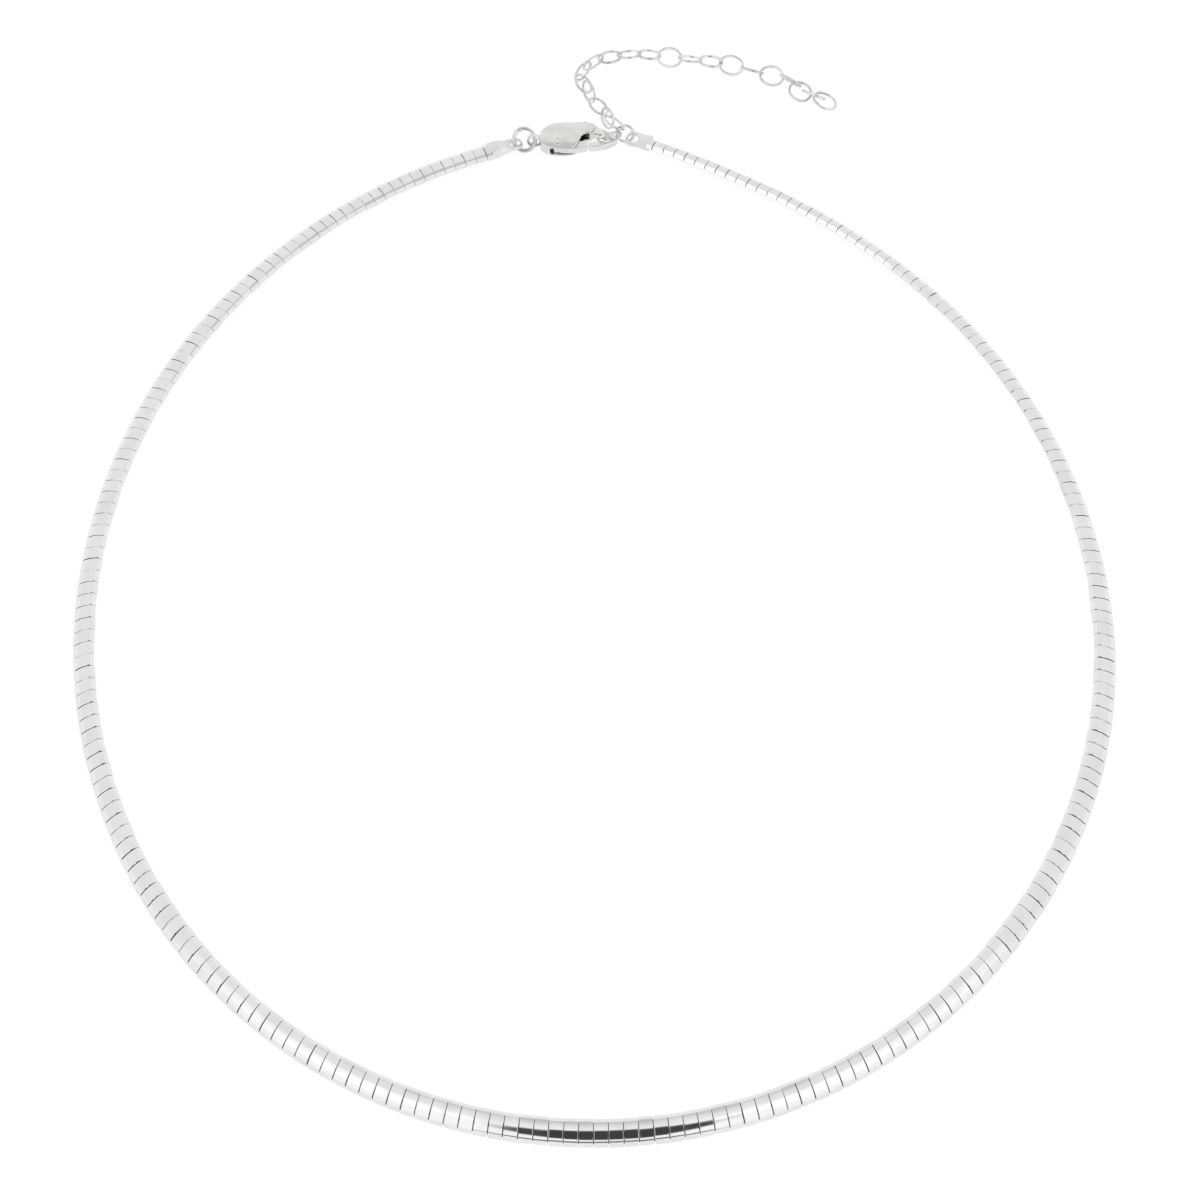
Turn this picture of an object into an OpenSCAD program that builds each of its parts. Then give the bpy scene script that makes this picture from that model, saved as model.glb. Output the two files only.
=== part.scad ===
// Omega necklace lying on a surface: domed plates on a woven core, with a
// lobster clasp at the back and a chain of oval links to lengthen it.
// Millimetres. +Z is up, -Y is the front of the necklace, the clasp is at +Y.

/* [Loop] */
// Radius of the front of the loop, to the middle of the band
loop_r = 62; // [60:0.25:64]
// Depth of the loop, from the middle of the front to the right end of the band
loop_depth = 133.8; // [131:0.1:137]
// Distance of the band's right end from the middle, across the loop
right_end_x = 8.65; // [7:0.05:11]

/* [Band] */
// Width of a plate across the band
band_w = 2.9; // [2.6:0.05:3.6]
// Thickness of a plate at the middle of its dome
band_t = 1.15; // [1.05:0.05:1.5]
// Height of a plate's straight side, below the dome
side_h = 0.75; // [0.65:0.05:0.9]
// Thickness of the sheet that a plate is folded from
sheet_t = 0.2; // [0.15:0.01:0.25]
// Distance from one plate to the next along the band
plate_pitch = 1.618; // [1.4:0.01:2.5]
// Gap between two plates
plate_gap = 0.12; // [0.11:0.01:0.2]
// Clearance between the woven core and the plates
core_gap = 0.1; // [0.1:0.01:0.15]

/* [End caps] */
// Length of the sleeve that closes the band
sleeve_l = 1; // [0.6:0.1:2]
// Length of the left cap, from the band to the tab's end
left_cap_l = 5.7; // [4.8:0.1:7]
// Length of the right cap, from the band to the tab's end
right_cap_l = 4.4; // [4.2:0.1:6]
// Thickness of a cap's flat tab
tab_t = 0.4; // [0.35:0.05:0.5]
// Width of a cap's tab
tab_w = 2.6; // [2.5:0.05:2.9]
// Diameter of the hole in a tab
hole_d = 1.5; // [1.4:0.05:1.6]
// Distance from the middle of the hole to the tab's end
hole_edge = 1; // [1:0.05:1.2]

/* [Jump rings] */
// Outer diameter of the ring between the left cap and the clasp
left_ring_d = 3.65; // [3.5:0.05:4.2]
// Wire of that ring
left_ring_wire = 0.6; // [0.5:0.02:0.64]
// Outer diameter of the ring that carries the chain
right_ring_d = 2.84; // [2.7:0.02:2.9]
// Wire of that ring
right_ring_wire = 0.42; // [0.36:0.01:0.44]

/* [Clasp] */
// Length of the clasp, from the middle of its eye to the end of its hook
clasp_l = 12; // [11:0.1:13]
// Thickness of the body at the top of its dome
clasp_t = 2; // [1.9:0.05:2.4]
// Thickness of the hook and of the lever
lever_t = 1.1; // [0.9:0.05:1.15]
// Clearance on each side of the lever in its slot
lever_gap = 0.08; // [0.06:0.01:0.1]
// Diameter of the hole in the eye
eye_d = 1.44; // [1.4:0.02:1.6]
// Wall round the hole in the eye
eye_wall = 0.38; // [0.3:0.02:0.4]
// Width of the eye along its hole
eye_w = 0.8; // [0.7:0.05:1]
// Diameter of the lever's pin
pin_d = 0.7; // [0.5:0.02:0.8]
// Clearance round the pin in the body
pin_gap = 0.03; // [0.02:0.01:0.05]
// Clearance round the pin in the lever
lever_bore_gap = 0.05; // [0.03:0.01:0.08]

/* [Chain] */
// Length of a link
link_l = 3.85; // [3.8:0.01:3.95]
// Width of a link
link_w = 2.95; // [2.85:0.01:3.05]
// Wire of a link
link_wire = 0.3; // [0.24:0.01:0.32]

/* [Hidden] */
// The chain, measured from the right cap's hole: x, y, height above the floor, and
// roll in degrees, where 0 lies flat. The first link hangs in the hook and is laid
// along +X. The second holds the jump ring, and each later one the link before it.
LINK_X = 0;
LINK_Y = 1;
LINK_Z = 2;
LINK_ROLL = 3;
hooked_link_dir = 18;
links = [
    [-3.4, 0.2, 1.45, -72], [-2.7, 2, 2.4, 33], [-3.7, 3.7, 1.5, -69],
    [-5, 6.3, 1.05, 21], [-6.4, 8.6, 1.5, -74], [-7.2, 10.6, 1, 28],
    [-7.3, 12.75, 1.3, -37], [-5.75, 14.2, 1.5, -80], [-3.3, 15.65, 1.05, -11],
    [-0.45, 15.85, 1.4, -67], [2.5, 16.1, 1.1, -19], [5.5, 15.5, 1.15, 45],
    [8.55, 15, 1.35, -61], [11.55, 14.5, 1.4, -13], [14.55, 13.8, 1.35, 56],
    [17.55, 13, 1.15, -46], [20.45, 12.1, 1, 37], [23.1, 10.9, 1.3, -57],
    [24.5, 9.2, 0.9, 24], [26.4, 8.2, 1.3, -49], [28, 7.5, 0.8, 0]
];
chain_end = [29.3, 7.1, 0.5];
right_ring_at = [-1.15, 0.6, 1.75];

function link_name(i) = str("link_", i < 10 ? "0" : "", i);

// Each row is one arc of the band's plan, from the middle of the front round to
// the clasp: its radius as a share of loop_r, and its sweep in degrees. A last
// arc runs from there to the band's end.
ARC_R = 0;
ARC_SWEEP = 1;
right_arcs = [[1.01, 88.3], [1.112, 42.3], [1.352, 18]];
left_arcs = [[0.999, 57.8], [1.108, 32.8]];

// How far the plates lean outwards, in degrees, against the share of the way
// from the front to the clasp
right_lean = [[0, 31], [0.25, 31], [0.4, 28], [0.5, 29], [0.57, 33], [0.67, 38], [1, 38]];
left_lean = [[0, 31], [0.25, 32], [0.38, 34], [0.5, 30], [0.57, 29], [0.69, 22], [0.8, 19], [1, 16]];

// Fineness of the exact curves
$fn = 96;
arc_fn = 360;

// Directions in plan, in degrees from +X, and slopes, as the pieces lie, and the
// height of the left ring's middle above the clasp's
right_cap_dir = 160;
left_cap_dir = 20;
left_ring_hole_dir = 21.7;
left_ring_eye_dir = -1.7;
left_ring_dir = 6.3;
left_ring_tilt = 37.8;
left_ring_rise = 0.165;
right_ring_dir = -10;
right_ring_tilt = 65;

// Places at the back, worked out from the band's right end round to its left end.
// Each is in plan, from the middle of the front.
function along(dir) = [cos(dir), sin(dir)];
right_end = [right_end_x, loop_depth];
right_hole = right_end + (right_cap_l - hole_edge) * along(right_cap_dir);
hook_from_hole = [-2.2, -0.11];
eye = right_hole + hook_from_hole - [clasp_l, 0];
left_ring_r = (left_ring_d - left_ring_wire) / 2;
eye_slack = 0.11;
ring_to_eye = left_ring_r - eye_slack;
hole_slack = -0.145;
ring_to_hole = left_ring_r + hole_slack;
left_ring = eye - ring_to_eye * along(left_ring_eye_dir);
left_hole = left_ring - ring_to_hole * along(left_ring_hole_dir);
left_end = left_hole - (left_cap_l - hole_edge) * along(left_cap_dir);

// Height of the middle of the band where its outer edge rests at the floor
function mid_z(lean) = band_w / 2 * sin(lean) + band_t / 2 * cos(lean);
LEAN = 1;
right_end_lean = right_lean[len(right_lean) - 1][LEAN];
left_end_lean = left_lean[len(left_lean) - 1][LEAN];

// The plan of one half of the band, as rows of centre, radius, first heading and
// sweep. A heading of 0 runs along +X, and the half turns to the left.
C = 0;
R = 1;
H0 = 2;
SWEEP = 3;
function row(p, h, r, sweep) = [p + r * [-sin(h), cos(h)], r, h, sweep];
function last_row(p, h, end) =
    let (d = end - p, ahead = d * [cos(h), sin(h)], aside = d * [-sin(h), cos(h)])
    row(p, h, d * d / (2 * aside), 2 * atan2(aside, ahead));
function half_route(arcs, end, i = 0, p = [0, 0], h = 0) =
    i == len(arcs) ? [last_row(p, h, end)] :
    let (a = row(p, h, arcs[i][ARC_R] * loop_r, arcs[i][ARC_SWEEP]))
    concat([a], half_route(arcs, end, i + 1, on_arc(a, h + a[SWEEP]), h + a[SWEEP]));
function on_arc(a, h) = a[C] + a[R] * [sin(h), -cos(h)];
function end_heading(route) = let (a = route[len(route) - 1]) a[H0] + a[SWEEP];

right_route = half_route(right_arcs, right_end);
left_route = half_route(left_arcs, [-left_end.x, left_end.y]);

function arc_len(a) = a[R] * a[SWEEP] * PI / 180;
function length_to(route, i) = i == 0 ? 0 : length_to(route, i - 1) + arc_len(route[i - 1]);
function route_len(route) = length_to(route, len(route));
function plates_in(a) = round(arc_len(a) / plate_pitch);

// Middle of the whole necklace's plan, which lies at the origin
function widest(route) =
    max([for (a = route) if (a[H0] < 90) a[C].x + a[R] * sin(min(90, a[H0] + a[SWEEP]))]);
band_reach = band_w / 2 * cos(right_lean[0][LEAN]);
chain_top = max([for (l = links) l[LINK_Y]]) + right_hole.y + link_w / 2;
middle = [(widest(right_route) - widest(left_route)) / 2, (chain_top - band_reach) / 2];
module at_middle() {
    translate([-middle.x, -middle.y, 0])
        children();
}

// Radius of the dome across a plate, through both sides' tops and the middle
dome_h = band_t - side_h;
dome_r = (band_w * band_w / 4 + dome_h * dome_h) / (2 * dome_h);
core_inset = sheet_t + core_gap;

// Cross-section of a plate or of the core, smaller all round by inset
module section(inset) {
    intersection() {
        translate([-band_w / 2 + inset, inset])
            square([band_w - 2 * inset, band_t]);
        translate([0, band_t - dome_r])
            circle(r = dome_r - inset);
    }
}

module plate_section() {
    difference() {
        section(0);
        section(sheet_t);
    }
}

// The plates of one half of the band, as drawn for the right half
module half_plates(route, leans) {
    total = route_len(route);
    for (i = [0 : len(route) - 1]) {
        a = route[i];
        n = plates_in(a);
        step = a[SWEEP] / n;
        gap_angle = plate_gap / a[R] * 180 / PI;
        for (k = [0 : n - 1]) {
            lean = lookup((length_to(route, i) + arc_len(a) * (k + 0.5) / n) / total, leans);
            translate([a[C].x, a[C].y, mid_z(lean)])
                rotate([0, 0, a[H0] + step * k + gap_angle / 2 - 90])
                    rotate_extrude(angle = step - gap_angle, $fn = arc_fn)
                        translate([a[R], 0])
                            rotate(-lean)
                                translate([0, -band_t / 2])
                                    plate_section();
        }
    }
}

module plates_right() {
    color("silver")
        at_middle()
            half_plates(right_route, right_lean);
}

module plates_left() {
    color("silver")
        at_middle()
            mirror([1, 0, 0])
                half_plates(left_route, left_lean);
}

// The woven core is swept as one strip through all the plates
core_step = 3.2;
core_dome_points = 4;
core_half = band_w / 2 - core_inset;
function dome_z(x) = band_t - dome_r + sqrt(pow(dome_r - core_inset, 2) - x * x);
core_outline = concat(
    [[-core_half, core_inset], [core_half, core_inset]],
    [for (k = [core_dome_points : -1 : -core_dome_points])
        let (x = core_half * k / core_dome_points) [x, dome_z(x)]]);

// Points of the core's outline round one place of a half; side is 1 or -1
function core_ring(a, h, lean, side) =
    let (p = on_arc(a, h), out = [sin(h), -cos(h)], zc = mid_z(lean))
    [for (q = core_outline)
        let (u = q.x, v = q.y - band_t / 2,
             d = u * cos(lean) + v * sin(lean),
             g = p + d * out)
        [side * g.x, g.y, zc - u * sin(lean) + v * cos(lean)]];
function half_rings(route, leans, side) =
    let (total = route_len(route))
    [for (i = [0 : len(route) - 1])
        let (a = route[i], n = round(arc_len(a) / core_step))
        for (k = [(i == 0 ? 0 : 1) : n])
            core_ring(a, a[H0] + a[SWEEP] * k / n,
                      lookup((length_to(route, i) + arc_len(a) * k / n) / total, leans), side)];
function backwards(list) = [for (i = [len(list) - 1 : -1 : 0]) list[i]];
function from_second(list) = [for (i = [1 : len(list) - 1]) list[i]];

// Closed tube through rings of equal length, capped at both ends
module tube_through(rings) {
    n = len(rings[0]);
    m = len(rings);
    points = [for (ring = rings) for (p = ring) p];
    sides = [for (i = [0 : m - 2]) for (j = [0 : n - 1])
        [i * n + j, i * n + (j + 1) % n, (i + 1) * n + (j + 1) % n, (i + 1) * n + j]];
    ends = [[for (j = [n - 1 : -1 : 0]) j], [for (j = [0 : n - 1]) (m - 1) * n + j]];
    polyhedron(points = points, faces = concat(sides, ends), convexity = 6);
}

module core() {
    color("gray")
        at_middle()
            tube_through(concat(backwards(half_rings(left_route, left_lean, -1)),
                                from_second(half_rings(right_route, right_lean, 1))));
}

// Rounds the corners of a closed outline by cutting them again and again
function cut_corners(p) =
    [for (i = [0 : len(p) - 1])
        let (q = p[(i + 1) % len(p)])
        each [p[i] * 0.75 + q * 0.25, p[i] * 0.25 + q * 0.75]];
function rounded(p, times) = times == 0 ? p : rounded(cut_corners(p), times - 1);
rounding = 2;

// Outline of a cap past its sleeve: the share of the way to the tab's end, and the
// half width there as a share of the tab's
CAP_AT = 0;
CAP_HALF = 1;
right_cap_side = [[0, 0.77], [0.3, 0.77], [0.62, 1], [0.9, 1.02], [1, 0.75]];
left_cap_side = [[0, 0.85], [0.07, 0.98], [0.16, 1.04], [0.27, 0.98], [0.4, 0.88], [0.52, 0.94],
                 [0.66, 1], [0.82, 0.98], [0.93, 0.85], [1, 0.45]];
function cap_outline(side, l) =
    let (edge = [for (s = side) [s[CAP_AT] * l, s[CAP_HALF] * tab_w / 2]])
    concat(edge, [for (q = backwards(edge)) [q.x, -q.y]]);

// A cap tapers from the band's thickness to the tab's, as shares of its length
right_taper = [0.15, 0.5];
left_taper = [0.35, 0.62];
function cap_profile(taper, l) =
    let (edge = [[0, band_t / 2], [taper[0] * l, band_t / 2], [taper[1] * l, tab_t / 2], [l, tab_t / 2]])
    concat(edge, [for (q = backwards(edge)) [q.x, -q.y]]);
module cap_shape(side, taper, l) {
    intersection() {
        translate([0, 0, -band_t])
            linear_extrude(2 * band_t)
                polygon(rounded(cap_outline(side, l), rounding));
        rotate([90, 0, 0])
            translate([0, 0, -tab_w])
                linear_extrude(2 * tab_w)
                    polygon(cap_profile(taper, l));
    }
}

// An end cap as drawn for the right half of the band: a sleeve that leans with the
// band, and a tab towards the hole
module end_cap(end, heading, lean, cap_l, tab_dir, tab_lean, side, taper) {
    tab_from = sleeve_l / 2;
    translate([end.x, end.y, mid_z(lean)]) {
        rotate([0, 0, heading])
            rotate([lean, 0, 0])
                translate([plate_gap / 2, 0, 0])
                    rotate([90, 0, 90])
                        linear_extrude(sleeve_l)
                            translate([0, -band_t / 2])
                                section(0);
        rotate([0, 0, tab_dir])
            rotate([tab_lean, 0, 0])
                difference() {
                    translate([tab_from, 0, 0])
                        cap_shape(side, taper, cap_l - tab_from);
                    translate([cap_l - hole_edge, 0, -band_t])
                        cylinder(h = 2 * band_t, d = hole_d);
                }
    }
}

right_tab_lean = 0;
left_tab_lean = left_end_lean;

module end_cap_right() {
    color("silver")
        at_middle()
            end_cap(right_end, end_heading(right_route), right_end_lean, right_cap_l,
                    right_cap_dir, right_tab_lean, right_cap_side, right_taper);
}

module end_cap_left() {
    color("silver")
        at_middle()
            mirror([1, 0, 0])
                end_cap([-left_end.x, left_end.y], end_heading(left_route), left_end_lean,
                        left_cap_l, 180 - left_cap_dir, left_tab_lean, left_cap_side, left_taper);
}

module jump_ring(at, dir, tilt, d, wire) {
    translate(at)
        rotate([tilt, 0, dir])
            rotate_extrude()
                translate([(d - wire) / 2, 0])
                    circle(d = wire);
}

module jump_ring_left() {
    color("silver")
        at_middle()
            jump_ring([left_ring.x, left_ring.y, clasp_z + left_ring_rise],
                      left_ring_dir, left_ring_tilt, left_ring_d, left_ring_wire);
}

module jump_ring_right() {
    color("silver")
        at_middle()
            jump_ring([right_hole.x, right_hole.y, 0] + right_ring_at,
                      right_ring_dir, right_ring_tilt, right_ring_d, right_ring_wire);
}

// Outlines of the clasp in plan, from the middle of its eye, as shares of clasp_l
body_outline = [[0.06, -0.06], [0.11, -0.13], [0.18, -0.165], [0.29, -0.178], [0.415, -0.172],
                [0.49, -0.16], [0.53, -0.085], [0.565, 0.02], [0.61, 0.058], [0.69, 0.058],
                [0.745, 0.18], [0.685, 0.22], [0.585, 0.236], [0.375, 0.236], [0.21, 0.217],
                [0.125, 0.135], [0.07, 0.07]];
hook_outline = [[0.66, 0.217], [0.742, 0.183], [0.842, 0.121], [0.942, 0.071], [0.99, 0.025],
                [1, -0.017], [0.95, -0.058], [0.858, -0.104], [0.75, -0.125], [0.65, -0.135],
                [0.65, -0.05], [0.8, -0.052], [0.858, -0.033], [0.875, 0], [0.858, 0.03],
                [0.8, 0.058], [0.66, 0.058]];
slot_outline = [[0.19, -0.25], [0.19, -0.04], [0.37, 0.3], [0.66, 0.3], [0.66, -0.25]];
gate_outline = [[0.27, -0.15], [0.38, -0.163], [0.52, -0.155], [0.6, -0.138], [0.64, -0.13],
                [0.64, -0.05], [0.6, -0.04], [0.42, -0.045], [0.29, -0.02]];
nub_outline = [[0.25, -0.05], [0.57, 0.228], [0.59, 0.257], [0.646, 0.248], [0.646, 0.204],
               [0.3, -0.11]];
pivot_at = [0.28, -0.08];
boss_d = 1.7;
dome_across = 28;
slot_t = lever_t + 2 * lever_gap;
pivot = pivot_at * clasp_l;

// The eye is the clasp's thickest place, so it is what rests on the floor
clasp_z = max(clasp_t, eye_d + 2 * eye_wall) / 2;

module plate_of(outline, t, times) {
    translate([0, 0, -t / 2])
        linear_extrude(t)
            polygon(rounded(outline * clasp_l, times));
}

module at_clasp() {
    at_middle()
        translate([eye.x, eye.y, clasp_z])
            children();
}

module pivot_hole(gap) {
    translate([pivot.x, pivot.y, -clasp_t])
        cylinder(h = 2 * clasp_t, d = pin_d + 2 * gap);
}

// One of the two domed faces of the body, above for side 1 and below for side -1
module domed(side) {
    translate([0, 0, side * (clasp_t - dome_across) / 2])
        rotate([0, 90, 0])
            cylinder(h = clasp_l, d = dome_across, $fn = arc_fn);
}

module clasp_eye() {
    rotate([90, 0, 0])
        rotate_extrude()
            translate([(eye_d + eye_wall) / 2, 0])
                scale([eye_wall, eye_w])
                    circle(d = 1);
    translate([eye_d / 2 + eye_wall / 2, -eye_w / 2, -lever_t / 2])
        cube([0.12 * clasp_l - (eye_d + eye_wall) / 2, eye_w, lever_t]);
}

module clasp_body() {
    color("silver")
        at_clasp() {
            difference() {
                intersection() {
                    plate_of(body_outline, clasp_t, rounding);
                    domed(1);
                    domed(-1);
                }
                plate_of(slot_outline, slot_t, 0);
                pivot_hole(pin_gap);
            }
            plate_of(hook_outline, lever_t, rounding);
            clasp_eye();
        }
}

module clasp_lever() {
    color("silver")
        at_clasp()
            difference() {
                union() {
                    plate_of(gate_outline, lever_t, rounding);
                    plate_of(nub_outline, lever_t, 1);
                    translate([pivot.x, pivot.y, -lever_t / 2])
                        cylinder(h = lever_t, d = boss_d);
                }
                pivot_hole(lever_bore_gap);
            }
}

// The pin ends just below the body's domed faces
pin_l = 0.94 * clasp_t;
module clasp_pin() {
    color("silver")
        at_clasp()
            translate([pivot.x, pivot.y, -pin_l / 2])
                cylinder(h = pin_l, d = pin_d);
}

// Points of an oval link's wire, as one ring of points for each place round it
link_sides = 16;
wire_sides = 6;
function unit(v) = v / norm(v);
function link_rings(at, dir, roll) =
    let (a = unit(dir),
         left = unit(cross([0, 0, 1], a)),
         b = cos(roll) * left + sin(roll) * cross(a, left),
         up = cross(a, b),
         ra = (link_l - link_wire) / 2,
         rb = (link_w - link_wire) / 2)
    [for (i = [0 : link_sides - 1])
        let (t = 360 * i / link_sides,
             p = at + ra * cos(t) * a + rb * sin(t) * b,
             out = unit(rb * cos(t) * a + ra * sin(t) * b))
        [for (j = [0 : wire_sides - 1])
            let (s = 360 * j / wire_sides)
            p + link_wire / 2 * (cos(s) * out + sin(s) * up)]];

// Closed loop of wire through rings of equal length
module wire_loop(rings) {
    n = len(rings[0]);
    m = len(rings);
    points = [for (ring = rings) for (p = ring) p];
    faces = [for (i = [0 : m - 1]) for (j = [0 : n - 1])
        let (next = (i + 1) % m, over = (j + 1) % n)
        [i * n + j, i * n + over, next * n + over, next * n + j]];
    polyhedron(points = points, faces = faces, convexity = 4);
}

// A link points from the one before it to the one after it
function link_at(i) =
    let (l = links[i])
    [l[LINK_X], l[LINK_Y], l[LINK_Z]];
function before(i) = i == 1 ? right_ring_at : link_at(i - 1);
function after(i) = i == len(links) - 1 ? chain_end : link_at(i + 1);
function link_dir(i) =
    i == 0 ? [cos(hooked_link_dir), sin(hooked_link_dir), 0] : after(i) - before(i);

module link(i) {
    color("silver")
        at_middle()
            translate([right_hole.x, right_hole.y, 0])
                wire_loop(link_rings(link_at(i), link_dir(i), links[i][LINK_ROLL]));
}

plates_left();
plates_right();
core();
end_cap_left();
end_cap_right();
jump_ring_left();
jump_ring_right();
clasp_body();
clasp_lever();
clasp_pin();
for (i = [1 : len(links)])
    link(i - 1);
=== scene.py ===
import math
import random

import bpy
from mathutils import Matrix, Vector


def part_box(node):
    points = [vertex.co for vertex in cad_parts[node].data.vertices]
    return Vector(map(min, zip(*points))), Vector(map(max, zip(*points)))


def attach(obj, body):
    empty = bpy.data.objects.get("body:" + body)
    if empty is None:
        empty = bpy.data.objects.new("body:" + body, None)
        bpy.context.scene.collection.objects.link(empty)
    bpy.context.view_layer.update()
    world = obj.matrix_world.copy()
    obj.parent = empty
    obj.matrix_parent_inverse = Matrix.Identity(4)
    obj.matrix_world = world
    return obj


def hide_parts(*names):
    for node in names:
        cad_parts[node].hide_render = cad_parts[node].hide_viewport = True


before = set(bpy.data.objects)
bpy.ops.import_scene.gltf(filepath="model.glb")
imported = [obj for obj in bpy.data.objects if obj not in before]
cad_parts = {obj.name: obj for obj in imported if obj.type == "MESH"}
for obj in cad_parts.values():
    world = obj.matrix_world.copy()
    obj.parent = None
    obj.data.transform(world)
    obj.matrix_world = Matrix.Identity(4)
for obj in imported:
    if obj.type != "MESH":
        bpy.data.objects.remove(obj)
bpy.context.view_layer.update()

MM = 0.001

# Sizes of the pieces in millimetres, as in the part
PLATE_WIDTH = 2.9
PLATE_THICKNESS = 1.15
PLATE_SIDE = 0.75
SHEET = 0.2
LINK_LENGTH = 3.85
LINK_WIDTH = 2.95
# The links' wire as thick as it looks in the photograph, which is more than in the part
LINK_WIRE = 0.38

# Where the photograph was taken from, in millimetres, how many degrees the camera looks down, and
# its lens and film width in millimetres
CAMERA_AT = (0.862, -90.083, 170.65)
CAMERA_DOWN = 65.6
CAMERA_LENS = 45.18
CAMERA_FILM = 36


def mm(*sizes):
    return tuple(size * MM for size in sizes)


def only(*objects):
    """Selects these objects and nothing else."""
    bpy.ops.object.select_all(action="DESELECT")
    for thing in objects:
        thing.select_set(True)
    bpy.context.view_layer.objects.active = objects[-1]


def edit(thing):
    only(thing)
    bpy.ops.object.mode_set(mode="EDIT")
    bpy.ops.mesh.select_all(action="SELECT")


def done():
    bpy.ops.object.mode_set(mode="OBJECT")


def named(name):
    thing = bpy.context.object
    thing.name = name
    thing.data.name = name
    return thing


def finished(thing, kind, **settings):
    """Adds a modifier with these settings and applies it."""
    only(thing)
    modifier = thing.modifiers.new(kind.title(), kind)
    for key, value in settings.items():
        setattr(modifier, key, value)
    bpy.ops.object.modifier_apply(modifier=modifier.name)


def smooth(thing, degrees):
    only(thing)
    bpy.ops.object.shade_smooth_by_angle(angle=math.radians(degrees))


def corners_of(thing):
    return [vertex.co.copy() for vertex in thing.data.vertices]


def copy_of_node(node):
    """A free copy of a node of the part, to model from."""
    only(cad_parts[node])
    bpy.ops.object.duplicate()
    copy = bpy.context.object
    copy.parent = None
    return copy


def placed_copy(thing, matrix):
    """A copy of a piece, laid by a matrix."""
    copy = thing.copy()
    copy.data = thing.data.copy()
    copy.data.transform(matrix)
    bpy.context.scene.collection.objects.link(copy)
    return copy


# Materials

# The sizes of the silver's haze and waves, of one wire in the weave, and of the table's clouds, in
# millimetres
HAZE_SIZE = 2.5
WAVE_SIZE = 1.6
WEAVE_SIZE = 0.25
CLOUD_SIZE = 40
# About how many waves a wave texture has in a length of 1 at a scale of 1
WAVES_AT_SCALE_1 = 3.14


def colour(hex_code):
    """sRGB hex to linear colour."""
    parts = [int(hex_code[i:i + 2], 16) / 255 for i in (1, 3, 5)]
    return tuple(c / 12.92 if c <= 0.04045 else ((c + 0.055) / 1.055) ** 2.4 for c in parts) + (1,)


def add(tree, kind, links=(), stops=(), **settings):
    """Adds a node. The settings are its properties or inputs, links are pairs of an output or a
    value and the socket that it goes to, and stops are the places and colours of a ramp."""
    node = tree.nodes.new(kind)
    for key, value in settings.items():
        if hasattr(node, key):
            setattr(node, key, value)
        else:
            node.inputs[key.replace("_", " ")].default_value = value
    for source, socket in links:
        if isinstance(source, bpy.types.NodeSocket):
            tree.links.new(source, node.inputs[socket])
        else:
            node.inputs[socket].default_value = source
    for k, (place, hex_code) in enumerate(stops):
        elements = node.color_ramp.elements
        element = elements[k] if k < 2 else elements.new(place)
        element.position = place
        element.color = colour(hex_code)
    return node


def new_material(name):
    material = bpy.data.materials.new(name)
    material.use_nodes = True
    tree = material.node_tree
    tree.nodes.clear()
    return material, tree


def silver(name, tone, shadow, gloss, grain, grain_depth, dimple=0.0):
    """A silver finish: tone and shadow are its clean and its hazy colour, gloss the range of its
    roughness, grain and grain_depth the size of its polishing marks, and dimple how deep its
    surface waves. Sizes are in millimetres."""
    material, tree = new_material(name)
    place = add(tree, "ShaderNodeTexCoord").outputs["Object"]
    haze = add(tree, "ShaderNodeTexNoise", [(place, "Vector")],
               Scale=1 / (HAZE_SIZE * MM), Detail=4.0).outputs["Fac"]
    marks = add(tree, "ShaderNodeTexNoise", [(place, "Vector")],
                Scale=1 / (grain * MM), Detail=3.0).outputs["Fac"]
    tint = add(tree, "ShaderNodeValToRGB", [(haze, "Fac")], [(0.35, shadow), (0.62, tone)])
    rough = add(tree, "ShaderNodeMapRange", [(haze, "Value")],
                From_Min=0.3, From_Max=0.7, To_Min=gloss[1], To_Max=gloss[0])
    bump = add(tree, "ShaderNodeBump", [(marks, "Height")],
               Strength=0.35, Distance=grain_depth * MM)
    if dimple:
        wave = add(tree, "ShaderNodeTexNoise", [(place, "Vector")],
                   Scale=1 / (WAVE_SIZE * MM), Detail=1.0)
        wavy = add(tree, "ShaderNodeBump", [(wave.outputs["Fac"], "Height")],
                   Strength=0.6, Distance=dimple * MM)
        tree.links.new(wavy.outputs["Normal"], bump.inputs["Normal"])
    shader = add(tree, "ShaderNodeBsdfPrincipled",
                 [(tint.outputs["Color"], "Base Color"), (rough.outputs["Result"], "Roughness"),
                  (bump.outputs["Normal"], "Normal")], Metallic=1.0)
    add(tree, "ShaderNodeOutputMaterial", [(shader.outputs["BSDF"], "Surface")])
    return material


# Rolled sterling silver sheet, mirror polished after folding: bright, with soft polishing haze
polished_sheet = silver("polished_silver_sheet", "#E4E4E4", "#DEDEDE", gloss=(0.05, 0.11),
                        grain=0.05, grain_depth=0.001, dimple=0.001)
# Cast sterling silver, barrel polished: a little softer than the sheet, with faint pits
cast_silver = silver("barrel_polished_cast_silver", "#E3E3E2", "#D3D3D2", gloss=(0.07, 0.16),
                     grain=0.12, grain_depth=0.004, dimple=0.006)
# Drawn sterling silver wire, soldered and dipped: bright with fine die marks
drawn_wire = silver("drawn_silver_wire", "#E2E2E2", "#C6C6C6", gloss=(0.08, 0.18),
                    grain=0.07, grain_depth=0.003)


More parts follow.
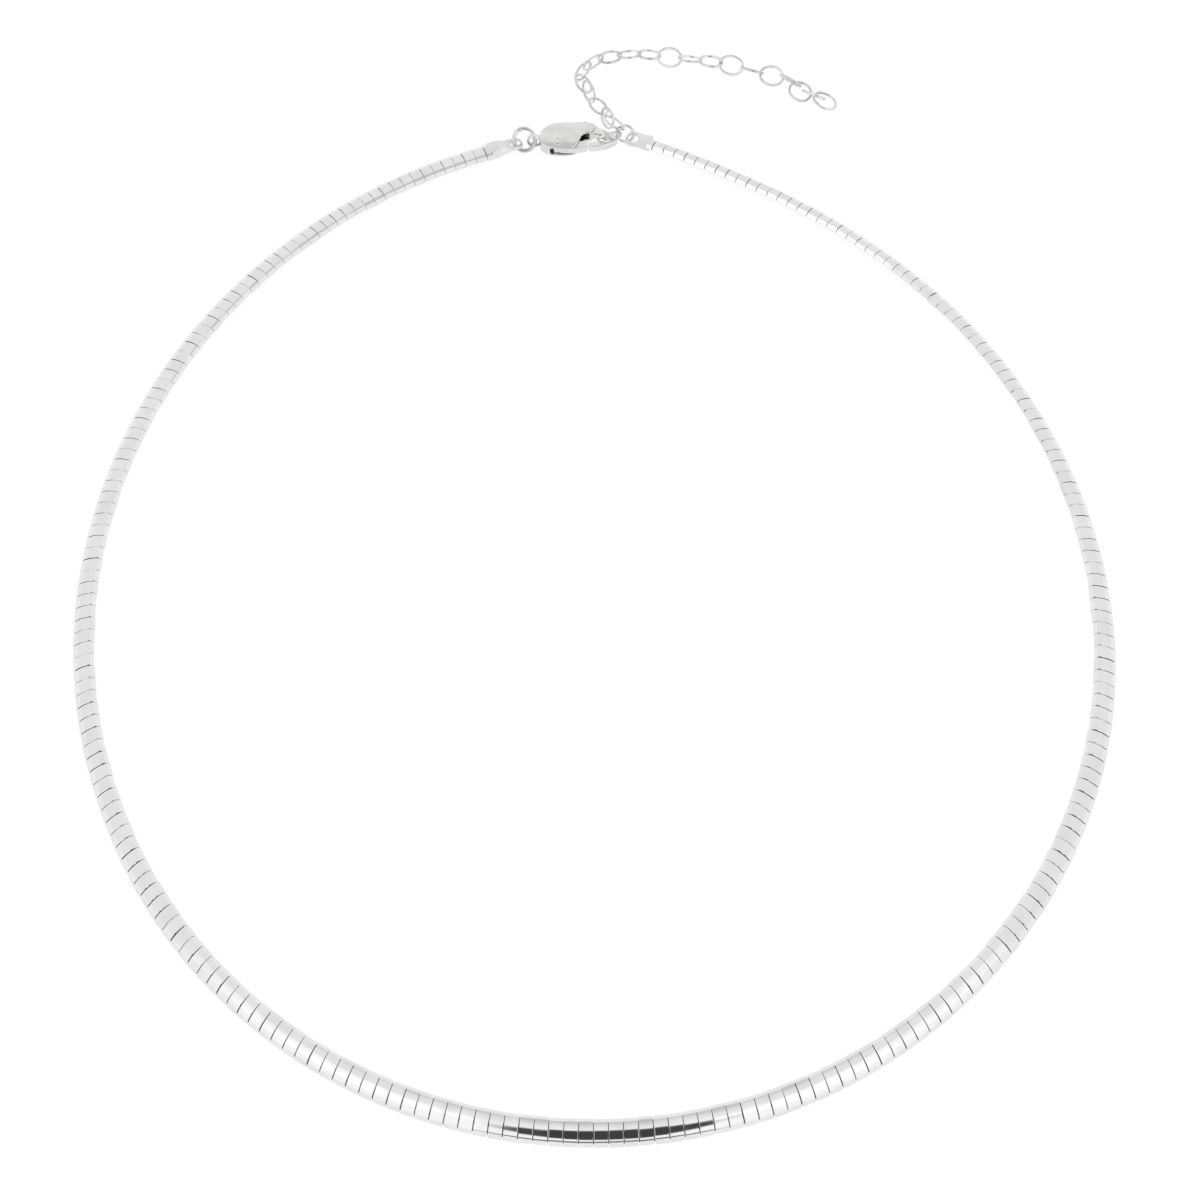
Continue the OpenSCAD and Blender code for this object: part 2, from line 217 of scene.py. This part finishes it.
def woven_core_material():
    """Woven silver mesh with its weave pattern, coloured dark grey as painted shade for the deep
    seams between the plates: the crossed wires show as a fine dark weave.
    """
    material, tree = new_material("silver_weave_painted_seam_shade")
    place = add(tree, "ShaderNodeTexCoord").outputs["Object"]
    heights = []
    for turn in (45, -45):
        turned = add(tree, "ShaderNodeMapping", [(place, "Vector")],
                     Rotation=(0, 0, math.radians(turn)))
        wires = add(tree, "ShaderNodeTexWave", [(turned.outputs["Vector"], "Vector")],
                    Scale=1 / (WEAVE_SIZE * MM) / WAVES_AT_SCALE_1, Distortion=0.0)
        heights.append((wires.outputs["Fac"], len(heights)))
    top = add(tree, "ShaderNodeMath", heights, operation="MAXIMUM").outputs["Value"]
    # The dark greys are painted shade: the core shows only in the seams between the plates
    tint = add(tree, "ShaderNodeValToRGB", [(top, "Fac")], [(0.3, "#3B3A38"), (0.9, "#8F8D89")])
    bump = add(tree, "ShaderNodeBump", [(top, "Height")], Strength=0.8, Distance=0.03 * MM)
    shader = add(tree, "ShaderNodeBsdfPrincipled",
                 [(tint.outputs["Color"], "Base Color"), (bump.outputs["Normal"], "Normal")],
                 Metallic=1.0, Roughness=0.45)
    add(tree, "ShaderNodeOutputMaterial", [(shader.outputs["BSDF"], "Surface")])
    return material


def table_material():
    """Opal acrylic, rolled smooth and lit from below: an even white with hardly a shadow on it."""
    material, tree = new_material("lit_opal_acrylic_table")
    place = add(tree, "ShaderNodeTexCoord").outputs["Object"]
    cloud = add(tree, "ShaderNodeTexNoise", [(place, "Vector")],
                Scale=1 / (CLOUD_SIZE * MM), Detail=2.0)
    tint = add(tree, "ShaderNodeValToRGB", [(cloud.outputs["Fac"], "Fac")],
               [(0.3, "#6B6B6B"), (0.7, "#6F6F6F")])
    shader = add(tree, "ShaderNodeBsdfPrincipled", [(tint.outputs["Color"], "Base Color")],
                 Roughness=0.8, Emission_Color=(1, 1, 1, 1), Emission_Strength=0.87)
    add(tree, "ShaderNodeOutputMaterial", [(shader.outputs["BSDF"], "Surface")])
    return material


def wear(thing, material, body):
    """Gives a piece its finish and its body."""
    thing.data.materials.clear()
    thing.data.materials.append(material)
    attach(thing, body)


# Camera, light and floor

# How far out, forward and up the softboxes hang and how wide they are, in metres
SOFTBOX_REACH = 0.46
SOFTBOX_SIZE = 0.5
SOFTBOX_WATTS = 0.12

# Where the tent's dim opening is, as a direction
OPENING_AT = (0, 0.084, 0.9965)

# Dark ovals in the tent: the direction of each one's middle, its half sizes, and the share of the
# light that is left in it
STAND = ((0.03, -0.85, 0.59), (0.235, 0.6, 0.32), 0.05)
TENT_RIM = ((0.02, -1, 0.03), (0.3, 0.9, 0.11), 0.15)
BAR_BEHIND = ((0, 0.47, 0.88), (0.25, 0.08, 0.05), 0.72)

# The floor's width, and how far it lies below the part so that the two never share a plane, in
# metres
FLOOR_SIZE = 4
FLOOR_DROP = 0.00002


def set_the_camera():
    bpy.ops.object.camera_add(location=mm(*CAMERA_AT),
                              rotation=(math.radians(90 - CAMERA_DOWN), 0, 0))
    camera = bpy.context.object
    camera.name = "camera"
    camera.data.sensor_width = CAMERA_FILM
    camera.data.lens = CAMERA_LENS
    camera.data.clip_start = 0.01
    camera.data.clip_end = 10
    bpy.context.scene.camera = camera


def hang_a_softbox(name, side):
    """Square softbox in front, to the left at side -1 or to the right at 1, turned to the part."""
    at = Vector((side * SOFTBOX_REACH, -SOFTBOX_REACH, SOFTBOX_REACH))
    bpy.ops.object.light_add(type="AREA", location=at)
    light = bpy.context.object
    light.name = name
    light.data.size = SOFTBOX_SIZE
    light.data.energy = SOFTBOX_WATTS
    light.rotation_euler = at.to_track_quat("Z", "Y").to_euler()


def light_the_studio():
    """A white tent, brighter in front, with a dim opening overhead, the dark shape of the camera's
    stand in front, a dark rim where the tent meets the table there, and a dark bar behind."""
    world = bpy.data.worlds.new("white_tent")
    bpy.context.scene.world = world
    world.use_nodes = True
    tree = world.node_tree
    tree.nodes.clear()
    place = add(tree, "ShaderNodeTexCoord").outputs["Generated"]
    ahead = add(tree, "ShaderNodeSeparateXYZ", [(place, "Vector")]).outputs["Y"]
    overhead = add(tree, "ShaderNodeVectorMath", [(place, 0), (OPENING_AT, 1)],
                   operation="DOT_PRODUCT").outputs["Value"]
    shares = [add(tree, "ShaderNodeMapRange", [(ahead, "Value")], interpolation_type="SMOOTHSTEP",
                  From_Min=-0.65, From_Max=-0.25, To_Min=1.2, To_Max=1.0),
              add(tree, "ShaderNodeMapRange", [(overhead, "Value")],
                  interpolation_type="SMOOTHSTEP",
                  From_Min=0.92, From_Max=0.998, To_Min=1.0, To_Max=0.62)]
    for middle, half, left in (STAND, TENT_RIM, BAR_BEHIND):
        oval = add(tree, "ShaderNodeMapping", [(place, "Vector")],
                   Location=tuple(-m / h for m, h in zip(middle, half)),
                   Scale=tuple(1 / h for h in half))
        far = add(tree, "ShaderNodeVectorMath", [(oval.outputs["Vector"], 0)], operation="LENGTH")
        shares.append(add(tree, "ShaderNodeMapRange", [(far.outputs["Value"], "Value")],
                          From_Min=0.92, From_Max=1.08, To_Min=left, To_Max=1.0))
    light = shares[0].outputs["Result"]
    for share in shares[1:]:
        light = add(tree, "ShaderNodeMath", [(light, 0), (share.outputs["Result"], 1)],
                    operation="MULTIPLY").outputs["Value"]
    back = add(tree, "ShaderNodeBackground", [((1, 1, 1, 1), "Color"), (light, "Strength")])
    add(tree, "ShaderNodeOutputWorld", [(back.outputs["Background"], "Surface")])
    hang_a_softbox("softbox_left", -1)
    hang_a_softbox("softbox_right", 1)


def lay_the_floor():
    bpy.ops.mesh.primitive_plane_add(size=FLOOR_SIZE, location=(0, 0, -FLOOR_DROP))
    floor = named("floor")
    bpy.ops.object.transform_apply(location=True, rotation=False, scale=False)
    floor.data.materials.append(table_material())


# Band, with sizes in millimetres

# A plate's cross-section: how many points its dome has, which share of the width they span, how
# much its bottom corners are cut off, and how far its shoulders stop below the dome's edges
DOME_POINTS = 7
DOME_SHARE = 0.985
CORNER = 0.1
SHOULDER = 0.02

# The plate's length as modelled, and how far its sheet's rims are rolled over
PLATE_LENGTH = 1.5
RIM = 0.04

# How much longer the drawn plates are than the solids, in front and at the sides, where the seams
# close up, and the front's place along Y and how far behind it the seams are as close as they get
CLOSER = (0.01, 0.035)
FRONT_AT = -77
FRONT_DEPTH = 60

# How far a plate may settle askew on the core, in degrees, round its length and round its width
SETTLE_ROUND_LENGTH = 1.6
SETTLE_ROUND_WIDTH = 0.6

# How far above a solid's lowest point the corners of its lowest edge may lie, and how far along it
# from its end the corners of that end may lie
LOW_WITHIN = 0.05
END_WITHIN = 0.2


def plate_section():
    """Points round a plate's cross-section in millimetres, with its corners softened."""
    half = PLATE_WIDTH / 2
    rise = PLATE_THICKNESS - PLATE_SIDE
    radius = (half * half + rise * rise) / (2 * rise)
    dome = []
    for k in range(DOME_POINTS):
        x = half * (1 - 2 * k / (DOME_POINTS - 1)) * DOME_SHARE
        dome.append((x, PLATE_THICKNESS - radius + math.sqrt(radius * radius - x * x)))
    right = [(half - CORNER, 0.0), (half, CORNER), (half, PLATE_SIDE - SHOULDER)]
    left = [(-x, y) for x, y in reversed(right)]
    return right + dome + left


def model_plate():
    """One folded plate, lying along Y with its outer bottom edge on the Y axis and its width along
    -X. The sheet's rims at both ends are rolled over a little."""
    section = plate_section()
    bpy.ops.mesh.primitive_circle_add(vertices=len(section), radius=MM, fill_type="NOTHING")
    plate = named("plate")
    for vertex, (x, y) in zip(plate.data.vertices, section):
        vertex.co = mm(x, -PLATE_LENGTH / 2, y)
    edit(plate)
    # The outline is drawn in to the sheet's inside. Each further step goes ahead along the plate
    # and then in or out, round the sheet's end, its outside and its other end.
    steps = ((0, SHEET), (0, RIM), (RIM, 0), (PLATE_LENGTH - 2 * RIM, 0), (RIM, RIM), (0, SHEET))
    inset = 0.0
    for k, (ahead, depth) in enumerate(steps):
        if k > 0:
            bpy.ops.mesh.extrude_region_move(TRANSFORM_OT_translate={"value": mm(0, ahead, 0)})
        wide, high = ((side - 2 * depth) / (side - 2 * inset)
                      for side in (PLATE_WIDTH, PLATE_THICKNESS))
        bpy.ops.transform.resize(value=(wide, 1, high),
                                 center_override=mm(0, 0, PLATE_THICKNESS / 2))
        inset = depth
    bpy.ops.mesh.select_all(action="DESELECT")
    bpy.ops.mesh.select_non_manifold()
    bpy.ops.mesh.bridge_edge_loops()
    bpy.ops.mesh.select_all(action="SELECT")
    bpy.ops.mesh.normals_make_consistent(inside=False)
    done()
    for vertex in plate.data.vertices:
        vertex.co.x -= PLATE_WIDTH / 2 * MM
    return plate


def loose_solids(node):
    """Vertices of each loose solid of a node."""
    copy = copy_of_node(node)
    edit(copy)
    bpy.ops.mesh.remove_doubles(threshold=0.002 * MM)
    bpy.ops.mesh.separate(type="LOOSE")
    done()
    pieces = list(bpy.context.selected_objects)
    solids = [corners_of(piece) for piece in pieces]
    for piece in pieces:
        bpy.data.objects.remove(piece)
    return solids


def plate_place(corners):
    """Matrix that lays a plate where a loose solid of the band is, and that solid's length."""
    low = min(v.z for v in corners)
    edge = [v for v in corners if v.z < low + LOW_WITHIN * MM]
    start, end = max(((a, b) for a in edge for b in edge),
                     key=lambda pair: (pair[0] - pair[1]).length)
    along = (end - start).normalized()
    # From the edge's two ends to the shoulders across the plate, which tell how far it leans
    reach = Vector()
    for corner in (start, end):
        beside = [v for v in corners if abs((v - corner).dot(along)) < END_WITHIN * MM]
        reach += max(beside, key=lambda v: (v - corner).length) - corner
    level = Vector((along.y, -along.x, 0)).normalized()
    if level.dot(reach) > 0:
        level.negate()
    lean = math.atan2(reach.z, -reach.dot(level)) - math.atan2(PLATE_SIDE, PLATE_WIDTH)
    rise = Vector((0, 0, 1))
    outwards = level * math.cos(lean) - rise * math.sin(lean)
    up = level * math.sin(lean) + rise * math.cos(lean)
    matrix = Matrix((outwards, up.cross(outwards), up)).transposed().to_4x4()
    matrix.translation = (start + end) / 2
    return matrix, (end - start).length


def lay_the_plates(node, name, seed):
    """The band's half along a node, plate by plate, each settled a little askew."""
    solids = loose_solids(node)
    chance = random.Random(seed)
    plate = model_plate()
    copies = []
    for corners in solids:
        place, length = plate_place(corners)
        turns = [math.radians(chance.uniform(-most, most))
                 for most in (SETTLE_ROUND_LENGTH, SETTLE_ROUND_WIDTH)]
        settle = Matrix.Rotation(turns[0], 4, "Y") @ Matrix.Rotation(turns[1], 4, "X")
        back = min(1, (place.translation.y / MM - FRONT_AT) / FRONT_DEPTH)
        closer = CLOSER[0] + (CLOSER[1] - CLOSER[0]) * back
        stretch = Matrix.Diagonal((1, (length / MM + closer) / PLATE_LENGTH, 1, 1))
        copies.append(placed_copy(plate, place @ settle @ stretch))
    bpy.data.objects.remove(plate)
    only(*copies)
    bpy.ops.object.join()
    band = named(name)
    smooth(band, 25)
    finished(band, "WEIGHTED_NORMAL", weight=100, keep_sharp=True)
    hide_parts(node)
    wear(band, polished_sheet, "necklace")


def darken_the_core():
    """The core stays as it is in the part, and is coloured dark as painted shade in the seams
    between the plates.
    """
    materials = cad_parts["core"].data.materials
    materials.clear()
    materials.append(woven_core_material())


# Chain and jump rings

# The solder joint in a jump ring: its place round the ring and its reach to both sides in radians,
# and by which share of the wire it stands proud
SOLDER_AT = 2.2
SOLDER_REACH = 0.16
SOLDER_RISE = 0.07


def model_link():
    """One oval link of round wire, lying flat with its length along X."""
    bpy.ops.curve.primitive_bezier_circle_add(radius=1)
    link = named("link")
    link.data.resolution_u = 7
    link.data.bevel_depth = LINK_WIRE / 2 * MM
    link.data.bevel_resolution = 2
    bpy.ops.object.mode_set(mode="EDIT")
    bpy.ops.curve.select_all(action="SELECT")
    bpy.ops.transform.resize(value=mm((LINK_LENGTH - LINK_WIRE) / 2,
                                      (LINK_WIDTH - LINK_WIRE) / 2, 1))
    done()
    bpy.ops.object.convert(target="MESH")
    return bpy.context.object


def link_place(corners):
    """Matrix of an oval link or a ring, from the tips of its length and width."""
    centre = Vector([(min(v[k] for v in corners) + max(v[k] for v in corners)) / 2
                     for k in range(3)])
    tip = max(corners, key=lambda v: (v - centre).length)
    along = (tip - centre).normalized()

    def beside(v):
        return (v - centre) - along * (v - centre).dot(along)

    side = beside(max(corners, key=lambda v: beside(v).length)).normalized()
    matrix = Matrix((along, side, along.cross(side))).transposed().to_4x4()
    matrix.translation = centre
    return matrix


def wire_piece(thing, node):
    smooth(thing, 60)
    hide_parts(node)
    wear(thing, drawn_wire, "necklace")


def hang_the_chain():
    link = model_link()
    nodes = sorted(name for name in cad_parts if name.startswith("link_"))
    for node in nodes:
        copy = placed_copy(link, link_place(corners_of(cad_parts[node])))
        copy.name = copy.data.name = "oval_" + node
        wire_piece(copy, node)
    bpy.data.objects.remove(link)


def close_a_jump_ring(node, name):
    """A ring of round wire, cut, closed and soldered, where the node is."""
    corners = corners_of(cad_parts[node])
    place = link_place(corners)
    local = [place.inverted() @ v for v in corners]
    wire = max(abs(v.z) for v in local)
    middle = max(v.length for v in local) - wire
    bpy.ops.mesh.primitive_torus_add(major_segments=56, minor_segments=14,
                                     major_radius=middle, minor_radius=wire)
    ring = named(name)
    for vertex in ring.data.vertices:
        angle = math.atan2(vertex.co.y, vertex.co.x)
        heart = Vector((math.cos(angle), math.sin(angle), 0)) * middle
        proud = max(0, 1 - abs(angle - SOLDER_AT) / SOLDER_REACH)
        vertex.co = heart + (vertex.co - heart) * (1 + SOLDER_RISE * proud)
    ring.data.transform(place)
    wire_piece(ring, node)


# Cast pieces, with sizes in millimetres

# The grain that a casting is modelled in, how many rounds its edges are worn, and how many more
# where a piece is worn more
CAST_GRAIN = 0.06
WEAR_ROUNDS = 6
MORE_ROUNDS = 14
# From where along X the clasp's body is worn more: its hook and the edges round its slot
BODY_WORN_FROM = -7.5

RIVET_RADIUS = 0.39
RIVET_LENGTH = 1.93
RIVET_EDGE = 0.04


def cast_copy(node, name, body, worn_from=None):
    """The node's own shape as a casting leaves the barrel, with every edge worn round. Past the
    place worn_from along X the edges are worn more."""
    piece = copy_of_node(node)
    piece.name = piece.data.name = name
    for key in list(piece.keys()):
        if key.startswith("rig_"):
            del piece[key]
    edit(piece)
    bpy.ops.mesh.remove_doubles(threshold=0.001 * MM)
    done()
    finished(piece, "REMESH", mode="VOXEL", voxel_size=CAST_GRAIN * MM, adaptivity=0.0)
    finished(piece, "SMOOTH", factor=0.5, iterations=WEAR_ROUNDS)
    if worn_from is not None:
        worn = piece.vertex_groups.new(name="worn")
        worn.add([v.index for v in piece.data.vertices if v.co.x > worn_from * MM], 1, "ADD")
        finished(piece, "SMOOTH", factor=0.5, iterations=MORE_ROUNDS, vertex_group="worn")
    smooth(piece, 80)
    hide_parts(node)
    wear(piece, cast_silver, body)


def rivet_the_lever():
    """The lever's pin, riveted over at both ends and polished flush with the clasp's faces."""
    low, high = (Vector(corner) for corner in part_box("clasp_pin"))
    bpy.ops.mesh.primitive_cylinder_add(vertices=28, radius=RIVET_RADIUS * MM,
                                        depth=RIVET_LENGTH * MM, location=(low + high) / 2)
    rivet = named("riveted_clasp_pin")
    bpy.ops.object.transform_apply(location=True, rotation=False, scale=False)
    finished(rivet, "BEVEL", width=RIVET_EDGE * MM, segments=2, limit_method="ANGLE")
    smooth(rivet, 40)
    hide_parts("clasp_pin")
    wear(rivet, cast_silver, "necklace")


set_the_camera()
light_the_studio()
lay_the_floor()
lay_the_plates("plates_left", "folded_plates_left", seed=3)
lay_the_plates("plates_right", "folded_plates_right", seed=5)
darken_the_core()
hang_the_chain()
close_a_jump_ring("jump_ring_left", "soldered_ring_left")
close_a_jump_ring("jump_ring_right", "soldered_ring_right")
cast_copy("clasp_body", "cast_clasp_body", "necklace", BODY_WORN_FROM)
cast_copy("clasp_lever", "cast_clasp_lever", "lever")
cast_copy("end_cap_left", "cast_cap_left", "necklace")
cast_copy("end_cap_right", "cast_cap_right", "necklace")
rivet_the_lever()

# The photograph is clear white and silver grey, which the plain transform keeps
bpy.context.scene.view_settings.view_transform = "Standard"
